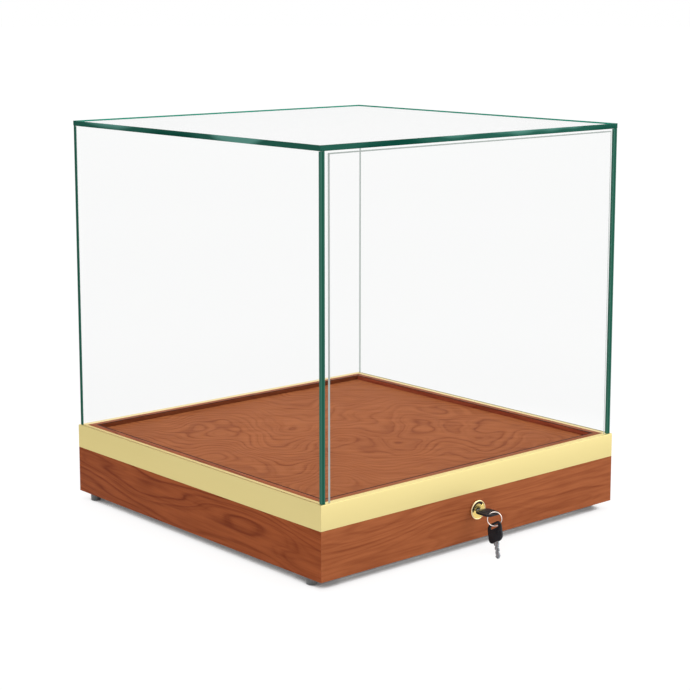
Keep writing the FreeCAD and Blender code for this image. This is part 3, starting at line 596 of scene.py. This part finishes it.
def paneSurface(lo, hi, axis, drawIn, rows):
    # a rectangle carried through the sheet by rows of (depth, share); its four sides are drawn in by
    # share * drawIn, and the first and last rows close as the two faces
    across = [k for k in range(3) if k != axis]
    depth, share = np.array(rows).T
    low = lo[across] + share[:, None, None] * np.array([drawIn[3], drawIn[0]])
    high = hi[across] - share[:, None, None] * np.array([drawIn[1], drawIn[2]])
    count = len(rows)
    points = np.zeros((count, 4, 3))
    points[..., across] = low + np.array([(0, 0), (1, 0), (1, 1), (0, 1)]) * (high - low)
    points[..., axis] = (lo[axis] + depth)[:, None]
    faces = [*gridFaces(count, 4), np.arange(4)[::-1], np.arange(4) + 4 * (count - 1)]
    sides = np.linalg.norm(np.roll(points[1], -1, 0) - points[1], axis=1)
    v = depth / (hi[axis] - lo[axis])
    i, j = np.divmod(np.arange(4 * (count - 1)), 4)
    nothing = np.zeros(len(i))
    u = np.stack([nothing, nothing, sides[j], sides[j]], 1)
    uv = np.stack([u, np.stack([v[i], v[i + 1], v[i + 1], v[i]], 1)], -1)
    return points, faces, j, np.concatenate([uv.reshape(-1, 2), np.full((8, 2), 0.5)])


def arrisRows(thick, step):
    # a plain sheet's rows: drawn in at both faces, full width one step inside them
    return [(0, 1), (step, 0), (thick - step, 0), (thick, 1)]


def paneMaterials():
    # one material for each kind of face, first for the standing panes and then for the top pane
    look = glassLook
    face = glassFace("glassFace", look["tint"], look["graze"], look["rises"])
    topFace = glassFace("glassTopFace", look["topTint"], look["topGraze"], look["topRises"])
    deep, mid, light = look["deep"], look["mid"], look["light"]
    line, grey, glint = look["line"], look["grey"], look["glint"]
    edges = [
        glassEdge("glassCutEdge", [(0.0, light), (0.20, light), (0.36, deep), (0.60, deep),
                                   (0.78, mid), (1.0, mid)]),
        glassEdge("glassPaleEdge", [(0.0, grey), (0.5, shade(grey, 1.2)), (1.0, grey)]),
        # the foot line is painted shade where the pane's arris meets the rail
        moulded("glassFootShade", look["foot"], rough=0.4, rate=900, depth=0.01 * mm, sheen=0.2),
        glassEdge("glassGlint", [(0.0, glint), (1.0, shade(glint, 1.1))], look["glintThrough"]),
        glassEdge("glassRimEdge", [(0.15, look["rimDeep"]), (0.42, look["rimMid"]), (0.64, look["rimMid"]),
                                   (0.90, look["rimLight"])], wander=look["rimWander"], band=look["rimBand"]),
        glassFace("glassBond", look["tint"], look["bondGraze"], look["rises"]),
        glassEdge("glassLine", [(0.0, line), (1.0, shade(line, 1.2))]),
    ]
    return [face, *edges], [topFace, *edges]


def buildPanes():
    # a sheet for each pane; a face's kind is its edge's word, but for the few faces picked by number
    spec = paneSpec
    kind = {word: number for number, word in enumerate(spec["kinds"])}
    standing, lying = paneMaterials()
    for node, (body, axis, edges) in spec["panes"].items():
        lo, hi = np.array(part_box(node))
        top, loose, back = node == "glass_top", body == "pull_out", node == "glass_back"
        if not top:
            lo[2] = rimZ + spec["lift"]  # the sheet stands in its bond on the rail
        words = edges.split()
        drawIn = [spec["cutArris" if word == "cut" and not back else "arris"] for word in words]
        if loose:
            drawIn = spec["looseArris"]
        thick = hi[axis] - lo[axis]
        rows = arrisRows(thick, spec["backStep" if back else "step"])
        if top:  # its polished edge stands up round the face as a fine green line
            lip = spec["lip"]
            drawIn = [lip["land"]] * 4
            rows = [(0, 0.5), (lip["arris"], 0), (thick, 0), (thick, 1), (thick - lip["height"], 1.1)]
        points, faces, column, uv = paneSurface(lo, hi, axis, drawIn, rows)
        picks = np.concatenate([np.array([kind[word] for word in words])[column], [0, 0]])
        if loose:  # the loose pane's ground arris shows as a grey outline
            picks[1:4] = kind["pale"]
        if top:
            picks[8:12], picks[12:16] = kind["glint"], kind["line"]
        if back:  # bonded to the right pane but for the middle of its edge
            picks[[1, 9]] = kind["clear"]
        # the foot row is painted as a line of shade
        if node in spec["footRow"]:  # a brown line where the outer arris meets the rail
            picks[spec["footRow"][node] * 4] = kind["foot"]
        piece = addPiece(pieceName(node), points, faces, body, lying if top else standing,
                         [node, *spec["bond"].get(node, ())], picks, crease=20, weld=False)
        layer = piece.data.uv_layers.new(name="edgeMap")
        layer.data.foreach_set("uv", uv.astype(np.float32).ravel())
        faceOutward(piece.data, False)
    print("panes built")


# Deck: a laminate board with softened edges

deckSpec = {
    "soft": 0.6 * mm, "grain": (0.753, -0.658, 0), "across": (-0.658, -0.753, 0), "shift": (2.71, 1.43, 0.2),
    "swirl": (8.5, 5.4), "curl": 1.6, "depth": 25.0, "ripple": 2.6, "lines": 46.0, "contrast": 0.55,
    "fleck": (26, 90), "tone": (1.06, 1.23, 1.33), "sheen": 0.012,
}


def buildDeck():
    # a sheet like a pane's, drawn in by one soft edge all round
    spec = deckSpec
    lo, hi = np.array(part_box("deck_panel"))
    rows = arrisRows(hi[2] - lo[2], spec["soft"])
    points, faces = paneSurface(lo, hi, 2, [spec["soft"]] * 4, rows)[:2]
    wood = cherry("deckCherry", (spec["grain"], spec["across"]), spec)
    addPiece("deckPanel", points, faces, "pull_out", [wood], ["deck_panel"])
    print("deck built")


# Feet: moulded bumpers, open at the foot for their screw

footSpec = {
    "bore": 3.9 * mm, "hole": 2.15 * mm, "recess": 5 * mm, "taper": 0.3 * mm,
    "soft": [0.2, 0.9, 0.25, 0.05, 0.05, 0.1], "softSteps": 5, "count": 48,
    "nodes": ("front_left_foot", "front_right_foot", "rear_left_foot", "rear_right_foot"),
}


def buildFeet(rubber):
    # a tapered profile with a stepped bore, turned about each foot's upright axis
    spec = footSpec
    bore, hole, recess, count = (spec[key] for key in ("bore", "hole", "recess", "count"))
    for node in spec["nodes"]:
        lo, hi = np.array(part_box(node))
        radius, height = (hi[0] - lo[0]) / 2, hi[2] - lo[2]
        corners = [(bore, 0), (radius - spec["taper"], 0), (radius, height), (hole, height),
                   (hole, recess), (bore, recess)]
        profile = softened(corners, np.array(spec["soft"]) * mm, spec["softSteps"])
        points = lathe(profile, np.array([*(lo + hi)[:2] / 2, lo[2]]), (0, 0, 1), (1, 0, 0), count)
        faces = gridFaces(len(profile), count, True, True)
        addPiece(pieceName(node), points, faces, "case", [rubber], [node])
    print("feet built")


# Lock: a turned brass rosette; its dish is deep at the upper left, its floor painted black there as shade, and
# fills up round to the lower right; the rim's paler brass is a painted highlight

lockSpec = {
    "bore": 6.85 * mm, "deepFloor": 1.3 * mm, "fullFloor": 1.9 * mm,
    "deepAt": 112.0, "deepFrom": (0.15, 0.40),
    "ringOuter": 9.3 * mm, "rimTop": 2.6 * mm, "rimLip": 9.7 * mm, "rimRadius": 11.2 * mm,
    # where the dish is deep enough its floor is painted black as shade
    "barrel": 9.5 * mm, "length": 25 * mm, "shadeFrom": 0.35, "rimRow": 3,
    # the rim's paler brass is a painted highlight
    "brass": (0.86, 0.640, 0.215), "rimHighlightBrass": (0.88, 0.715, 0.420),
    "well": {"half": (3.5 * mm, 1.5 * mm), "rise": 1.2 * mm},
    "soft": [0.1, 0.15, 0.4, 1.1, 0.3, 0.1, 0.3, 0.1], "softSteps": 6, "count": 96,
}


def buildLock(brass, rimHighlightBrass, dark):
    # the dish's floor rises from deep to full with the cosine of the angle away from its deepest place
    spec = lockSpec
    bore, floor, barrel, rim = (spec[key] for key in ("bore", "fullFloor", "barrel", "rimRadius"))
    corners = [(bore, floor), (spec["ringOuter"], floor), (spec["rimLip"], spec["rimTop"]),
               (rim, spec["rimTop"]), (rim, 0), (barrel, 0), (barrel, -spec["length"]),
               (bore, -spec["length"])]
    steps, count = spec["softSteps"], spec["count"]
    profile = softened(corners, np.array(spec["soft"]) * mm, steps)
    points = lathe(profile, lockCentre, (0, -1, 0), (1, 0, 0), count)
    turn = np.linspace(0, 2 * np.pi, count, endpoint=False)
    near, far = spec["deepFrom"]
    share = np.clip((np.cos(turn - math.radians(spec["deepAt"])) - near) / (far - near), 0, 1)
    share = share ** 2 * (3 - 2 * share)
    points[:2 * steps, :, 1] += share * (floor - spec["deepFloor"])
    row, column = np.divmod(np.arange(len(profile) * count), count)
    # the deep part of the dish is painted black as shade
    dish = (row < 2 * steps) & (share[column] > spec["shadeFrom"])
    # the raised rim takes the paler brass as a painted highlight
    raised = (row >= 2 * steps + spec["rimRow"]) & (row < 5 * steps)
    addPiece("lockRosette", points, gridFaces(len(profile), count, True, True), "pull_out",
             [brass, rimHighlightBrass, dark], ["lock_body"], np.where(dish, 2, np.where(raised, 1, 0)), crease=30)
    print("lock built")


# Keys: a moulded bow with a slot and raised panels, and a cut steel blade

keySpec = {
    "bowLength": 23 * mm, "bowWidth": 21 * mm, "bowThick": 3.2 * mm, "bowCorner": 7.0 * mm,
    "rim": 1.0 * mm, "rimDrop": 0.75, "slotLength": 4.3 * mm, "slotWidth": 12.4 * mm, "slotCorner": 1.5 * mm,
    "slotEase": 0.4 * mm, "bridge": 2.6 * mm, "rays": 48, "rayGap": 0.004, "arcSteps": 5,
    "panel": (-6.6 * mm, 6.6 * mm, 11.6 * mm, 20.6 * mm), "panelCorner": 1.8 * mm, "panelRise": 0.34 * mm,
    "panelSink": 0.15 * mm, "panelRound": 0.5 * mm,
    "bladeWidth": 7 * mm, "bladeThick": 2.0 * mm, "tang": 9 * mm, "bladeLength": 19 * mm, "bladeRows": 180,
    "taper": 3.3, "point": 2.2, "pointRound": 0.3, "chamfer": 0.22 * mm, "groove": 0.75 * mm,
    "grooveFloor": 0.6, "grooveDepth": 0.45 * mm, "grooveRun": 2, "cutFlat": 0.5, "cutSlope": 1.1,
    "cuts": [4.4, 6.9, 9.4, 11.9, 14.4],
    "leftDepth": [1.5, 0.7, 1.7, 1.1, 1.4], "rightDepth": [0.9, 1.6, 0.8, 1.7, 1.2],
    "spareTwist": -35.0, "spareLean": 39.08, "spareEye": 3.9 * mm,
}


def rayLength(loop, angles):
    # a loop's distance from its middle at each angle, read from points set closely along its sides
    sides = np.roll(loop, -1, 0) - loop
    dense = loop[:, None] + np.linspace(0, 1, 40, endpoint=False)[None, :, None] * sides[:, None]
    dense = dense.reshape(-1, 2)
    turn = np.arctan2(dense[:, 1], dense[:, 0])
    order = np.argsort(turn)
    return np.interp(angles, turn[order], np.hypot(*dense.T)[order], period=2 * np.pi)


def keyBow(spec):
    # bow: rows run from the slot's wall over the top, round the outer rim and back under, on rays from
    # the slot's centre; the two outlines are read at the same ray angles
    w, l = spec["bowWidth"] / 2, spec["bowLength"]
    centre = np.array([0, spec["bridge"] + spec["slotLength"] / 2])
    outer = softened([(-w, 0), (w, 0), (w, l), (-w, l)], spec["bowCorner"], 40) - centre
    sw, sl = spec["slotWidth"] / 2, spec["slotLength"] / 2
    inner = softened([(-sw, -sl), (sw, -sl), (sw, sl), (-sw, sl)], spec["slotCorner"], 24)
    even = np.linspace(-np.pi, np.pi, spec["rays"], endpoint=False)
    corners = [np.arctan2(loop[:, 1], loop[:, 0]) for loop in (outer, inner)]
    angles = np.sort(np.concatenate([*corners, even]))
    angles = angles[np.concatenate([np.diff(angles) > spec["rayGap"], [True]])]
    far, near = rayLength(outer, angles), rayLength(inner, angles)
    half, rim, ease = spec["bowThick"] / 2 - spec["panelRise"], spec["rim"], spec["slotEase"]
    arc = np.linspace(0, np.pi / 2, spec["arcSteps"])
    out, fall = 1 - np.cos(arc), 1 - np.sin(arc)
    radius = np.concatenate([near[None], near + ease * out[:, None], far - rim * out[::-1, None]])
    height = np.concatenate([[0], half - ease * fall, half - spec["rimDrop"] * rim * fall[::-1]])
    radius, height = np.concatenate([radius, radius[:0:-1]]), np.concatenate([height, -height[:0:-1]])
    points = np.stack(np.broadcast_arrays(radius * np.cos(angles) + centre[0],
                                          radius * np.sin(angles) + centre[1], height[:, None]), -1)
    # raised panels: the panel's outline climbs and draws in by a quarter round, then closes on its middle
    x0, x1, y0, y1 = spec["panel"]
    loop = softened([(x0, y0), (x1, y0), (x1, y1), (x0, y1)], spec["panelCorner"], 6)
    middle = loop.mean(0)
    outward = (loop - middle) / np.linalg.norm(loop - middle, axis=1, keepdims=True)
    inset = spec["panelRound"] * out[:, None, None]
    flat = np.broadcast_to(middle, (1, *loop.shape))
    climb = np.concatenate([flat, loop - inset * outward, flat])
    sink = spec["panelSink"]
    level = half - sink + np.concatenate([[0], np.sin(arc), [1]]) * (spec["panelRise"] + sink)
    groups, shapes = [points.reshape(-1, 3)], [gridFaces(*points.shape[:2], True, True)]
    for sign in (1, -1):
        pad = np.concatenate([climb, np.broadcast_to(sign * level[:, None, None], (*climb.shape[:2], 1))], -1)
        shapes.append(gridFaces(*pad.shape[:2]) + sum(map(len, groups)))
        groups.append(pad.reshape(-1, 3))
    return np.concatenate(groups), np.concatenate(shapes)


def keyBlade(spec):
    # blade: a grooved section carried from the tang to the tip; its half widths lose each cut's trapezoid
    shoulder = spec["bowLength"]
    s = np.linspace(shoulder - spec["tang"], shoulder + spec["bladeLength"], spec["bladeRows"])
    run = (s - shoulder) / mm
    half = np.full_like(s, spec["bladeWidth"] / 2)
    cuts = np.array(spec["cuts"])[:, None]

    def lost(depths):
        # the deepest cut at each place: depth less slope times the run beyond the cut's flat
        beyond = np.clip(np.abs(run - cuts) - spec["cutFlat"], 0, None) * spec["cutSlope"]
        return np.max(np.clip(np.array(depths)[:, None] - beyond, 0, None), 0) * mm

    nose = np.clip((run - spec["bladeLength"] / mm) / spec["taper"] + 1, 0, None)
    point = (spec["point"] * nose + spec["pointRound"] * nose ** 4) * mm
    left = half - np.maximum(lost(spec["leftDepth"]), point)
    right = half - np.maximum(lost(spec["rightDepth"]), point)
    t, a = spec["bladeThick"] / 2, spec["chamfer"]
    g = np.full_like(s, spec["groove"])
    gf, gd = g * spec["grooveFloor"], spec["grooveDepth"] * np.clip((run + 1) / spec["grooveRun"], 0, 1)
    section = [(-left, a - t), (-left, t - a), (a - left, t), (-g, t), (-gf, t - gd), (gf, t - gd), (g, t),
               (right - a, t), (right, t - a), (right, a - t), (right - a, -t), (g, -t), (gf, gd - t),
               (-gf, gd - t), (-g, -t), (a - left, -t)]
    points = np.stack([np.stack(np.broadcast_arrays(x, s, z), -1) for x, z in section], 1)
    count, last = len(section), (len(s) - 1) * len(section)
    return points, [*gridFaces(len(s), count), np.arange(count)[::-1], np.arange(count) + last]


def buildKeys(plastic, steel):
    # the key in the plug lies flat; the spare hangs on the ring, twisted on the wire and leaning to the
    # counter: lean * twist * (the bow's axes hung from the ring)
    spec = keySpec
    bow, bowFaces = keyBow(spec)
    blade, bladeFaces = keyBlade(spec)
    inPlug = (np.eye(3), np.array(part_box("key_bow"))[0] * (0, 1, 0) + lockCentre * (1, 0, 1))
    normal = -np.array(joints["ring_swing"]["axis"])
    ahead = np.cross(normal, (0, 0, 1))
    down = np.stack([-normal, (0, 0, -1), ahead], 1)
    twist = np.array(Matrix.Rotation(math.radians(-spec["spareTwist"]), 3, "Z"))
    lean = np.array(Matrix.Rotation(math.radians(-spec["spareLean"]), 3, Vector(ahead)))
    turn = lean @ twist @ down
    spare = (turn, np.array(joints["spare_key_swing"]["pos_m"]) - turn @ (0, spec["spareEye"], 0))
    for name, body, (spin, place) in (("key", "key", inPlug), ("spareKey", "spare_key", spare)):
        addPiece(name + "Bow", bow @ spin.T + place, bowFaces, body, [plastic],
                 [body + "_bow"], crease=40)
        addPiece(name + "Blade", blade @ spin.T + place, bladeFaces, body, [steel],
                 [body + "_blade"], crease=25)
    print("keys built")


# Ring: two turns of spring wire side by side

ringSpec = {
    "radius": 8 * mm, "wire": 0.66 * mm, "flat": 1.5, "turns": 1.94, "pitch": 0.70 * mm, "start": 0.9,
    "crossFrom": 0.40, "crossRun": 0.20, "endRun": 0.015, "rows": 260, "around": 12,
}


def buildRing(wire):
    # path: circle of two turns whose offset along the axis steps over by one pitch at the half way turn;
    # section: a rounded wire, closed to a point at both ends
    spec = ringSpec
    centre = np.array(joints["ring_swing"]["pos_m"])
    normal = -np.array(joints["ring_swing"]["axis"])
    up = np.array([0, 0, 1.0])
    across = np.cross(up, normal)
    u = np.linspace(0, 1, spec["rows"])
    angle = (u * spec["turns"] * 2 * np.pi + spec["start"])[:, None, None]
    step = np.clip((u - spec["crossFrom"]) / spec["crossRun"], 0, 1)
    offset = ((step ** 2 * (3 - 2 * step)) - 0.5)[:, None, None] * spec["pitch"]
    out = np.cos(angle) * across + np.sin(angle) * up
    closing = np.clip(np.abs(u - 0.5) * 2 - (1 - spec["endRun"]), 0, 1) / spec["endRun"]
    size = (np.sqrt(np.clip(1 - closing ** 2, 0, 1)) * spec["wire"] / 2)[:, None, None]
    v = np.linspace(0, 2 * np.pi, spec["around"], endpoint=False)[None, :, None]
    grid = centre + out * (spec["radius"] + size * np.cos(v) * spec["flat"])
    grid = grid + normal * (offset + size * np.sin(v))
    addPiece("keyRing", grid, gridFaces(len(u), spec["around"]), "ring", [wire],
             ["key_ring"], crease=60)
    print("ring built")


# Surfaces for the CAD nodes that keep their own shape

def finishNodes(table):
    # each node takes the material of its slot in the record
    slots = {part["node"]: part["material_slot"] for part in frame["record"]["subparts"]}
    for node, item in frame["nodes"].items():
        if slots[node] in table:
            for place in item.material_slots:
                place.material = table[slots[node]]
    print("node surfaces set")


# Studio: white floor and world, soft light from the right and above

studio = {
    "ambient": 0.62, "floorShare": 0.72, "floorColour": 0.86, "floorFleck": 60, "fleckRise": 0.01,
    "floorGlow": [(0.44, 0.165), (0.60, 0.076), (0.78, 0.083), (1.12, 0.113), (1.69, 0.142), (2.70, 0.183),
                  (4.45, 0.211), (6.0, 0.220)],
    "floorReach": 6.0, "floorDrop": 0.2 * mm, "discFrom": 0.4, "discTo": 30, "discRings": 9, "discCount": 64,
    "contact": {"reach": 0.025, "dark": 0.11, "from": 0.205, "to": 0.330, "samples": 24},
    "aim": (0, 0.02, 0.15),
    "key": {"place": (1.9, -2.6, 0.75), "size": 3.2, "power": 56},
    "top": {"place": (-0.2, 0.1, 2.4), "size": 2.0, "power": 23},
    "camera": {"place": (-1.3525, -1.5290, 0.6136), "yaw": -41.1345, "down": 9.1998, "lens": 91.3196,
               "sensor": 36, "rise": -0.1, "far": 100},
}


def seenRays(tree):
    # 1 for rays from the camera and for rays that mirrors and glass send on
    path = put(tree, "ShaderNodeLightPath")
    seen = maths(tree, "MAXIMUM", path.outputs["Is Camera Ray"], path.outputs["Is Glossy Ray"])
    return maths(tree, "MAXIMUM", seen, path.outputs["Is Transmission Ray"])


def buildWorld():
    # white for rays that are seen, and dimmer as light
    world = bpy.data.worlds.new("studioWorld")
    bpy.context.scene.world = world
    world.use_nodes = True
    tree = world.node_tree
    level = maths(tree, "MULTIPLY_ADD", seenRays(tree), 1 - studio["ambient"], studio["ambient"])
    fill(tree, tree.nodes["Background"], Color=(1, 1, 1, 1), Strength=level)


def paperFloor():
    # white paper: a lit share and a glowing share, which is 1 + glow by distance over reach, times the
    # contact shadow
    paper, tree, bsdf = newMaterial("paperFloor")
    tree.nodes.remove(bsdf)
    white = studio["floorColour"]
    stops = [(0.0, (white,) * 3), (1.0, (white + studio["fleckRise"],) * 3)]
    fleck = ramp(tree, speckle(tree, studio["floorFleck"], 3), stops)
    matt = put(tree, "ShaderNodeBsdfDiffuse", None, Color=fleck)
    away = maths(tree, "DIVIDE", lengthOf(tree, spread(tree, (1, 1, 0))), studio["floorReach"])
    stops = [(place / studio["floorReach"], (glow,) * 3) for place, glow in studio["floorGlow"]]
    level = maths(tree, "ADD", ramp(tree, away, stops), 1.0)
    # the contact shadow: how much of the near space above the paper is open
    spec = studio["contact"]
    air = put(tree, "ShaderNodeAmbientOcclusion", {"samples": spec["samples"]}, Distance=spec["reach"])
    soft = put(tree, "ShaderNodeMapRange", None, i0=air.outputs["AO"], i1=spec["from"], i2=spec["to"],
               i3=spec["dark"], i4=1.0).outputs[0]
    glow = put(tree, "ShaderNodeEmission", None, Strength=maths(tree, "MULTIPLY", soft, level))
    share = maths(tree, "MULTIPLY", seenRays(tree), studio["floorShare"])
    surface(tree, put(tree, "ShaderNodeMixShader", None, i0=share, i1=matt.outputs[0], i2=glow.outputs[0]))
    return paper


def buildFloor():
    # rings of a disc, the radius growing by a constant ratio
    rings, count = studio["discRings"], studio["discCount"]
    ring = np.concatenate([[0], np.geomspace(studio["discFrom"], studio["discTo"], rings - 1)])[:, None]
    turn = np.linspace(0, 2 * np.pi, count, endpoint=False)[None, :]
    height = cadBox[0][2] - studio["floorDrop"]
    disc = np.stack(np.broadcast_arrays(ring * np.cos(turn), ring * np.sin(turn), height), -1)
    mesh = bpy.data.meshes.new("paperFloor")
    mesh.from_pydata(disc.reshape(-1, 3), [], gridFaces(rings, count)[:, ::-1].tolist())
    mesh.materials.append(paperFloor())
    floor = bpy.data.objects.new("paperFloor", mesh)
    bpy.context.scene.collection.objects.link(floor)


def buildStudio():
    # the world, the floor, two lamps turned to the case, and the camera of the photo
    buildWorld()
    buildFloor()
    aim = Vector(studio["aim"])
    for name in ("key", "top"):
        spec = studio[name]
        lamp = bpy.data.lights.new(name + "Lamp", "AREA")
        lamp.shape, lamp.size, lamp.energy = "DISK", spec["size"], spec["power"]
        holder = bpy.data.objects.new(name + "Lamp", lamp)
        holder.location = spec["place"]
        holder.rotation_euler = (aim - Vector(spec["place"])).to_track_quat("-Z", "Y").to_euler()
        bpy.context.scene.collection.objects.link(holder)

    spec = studio["camera"]
    lens = bpy.data.cameras.new("photoCamera")
    lens.sensor_width, lens.lens, lens.shift_y = spec["sensor"], spec["lens"], spec["rise"]
    lens.clip_end = spec["far"]
    camera = bpy.data.objects.new("photoCamera", lens)
    camera.location = spec["place"]
    camera.rotation_euler = (math.radians(90 - spec["down"]), 0, math.radians(spec["yaw"]))
    bpy.context.scene.collection.objects.link(camera)
    bpy.context.scene.camera = camera
    bpy.context.scene.view_settings.view_transform = "Standard"
    print("studio set")


gold = satinGold("satinGold", (1, 1, 1))
rubber = moulded("footRubber", (0.165, 0.175, 0.175), rough=0.48, rate=1500, depth=0.04 * mm, sheen=0.5)
plastic = moulded("bowPlastic", (0.0230, 0.0250, 0.0300), rough=0.40, rate=3200, depth=0.02 * mm, sheen=0.10)
# painted shade for the deep part of the lock's dish
paintedDishShade = moulded("dishPaintedShade", (0.010, 0.009, 0.007), rough=0.5, rate=900, depth=0.02 * mm, sheen=0.3)
keySteel = metal("keySteel", (0.47, 0.52, 0.57), rough=0.40, rate=420, depth=0.004 * mm, vary=0.75,
                 bright=0.4)
ringSteel = metal("ringSteel", (0.94, 0.83, 0.775), rough=0.14, rate=600, depth=0.01 * mm, vary=0.06)
brass = turnedBrass("turnedBrass", lockSpec["brass"], lockCentre)
# paler brass as a painted highlight on the lock's rim
rimHighlightBrass = turnedBrass("rimHighlightBrass", lockSpec["rimHighlightBrass"], lockCentre)

buildWalls()
buildRails(gold)
buildPanes()
buildDeck()
buildFeet(rubber)
buildLock(brass, rimHighlightBrass, paintedDishShade)
buildKeys(plastic, keySteel)
buildRing(ringSteel)
finishNodes({
    "plain_board": bareBoard(),
    "zinc_steel": metal("zincSteel", (0.60, 0.615, 0.64), rough=0.36, rate=40),
    "screw_steel": metal("screwSteel", (0.58, 0.585, 0.60), rough=0.30, rate=900),
    "lock_zinc": metal("lockZinc", (0.55, 0.55, 0.56), rough=0.42, rate=700, depth=0.04 * mm),
    "lock_brass": turnedBrass("plugBrass", lockSpec["brass"], lockCentre, lockSpec["well"]),
})
buildStudio()
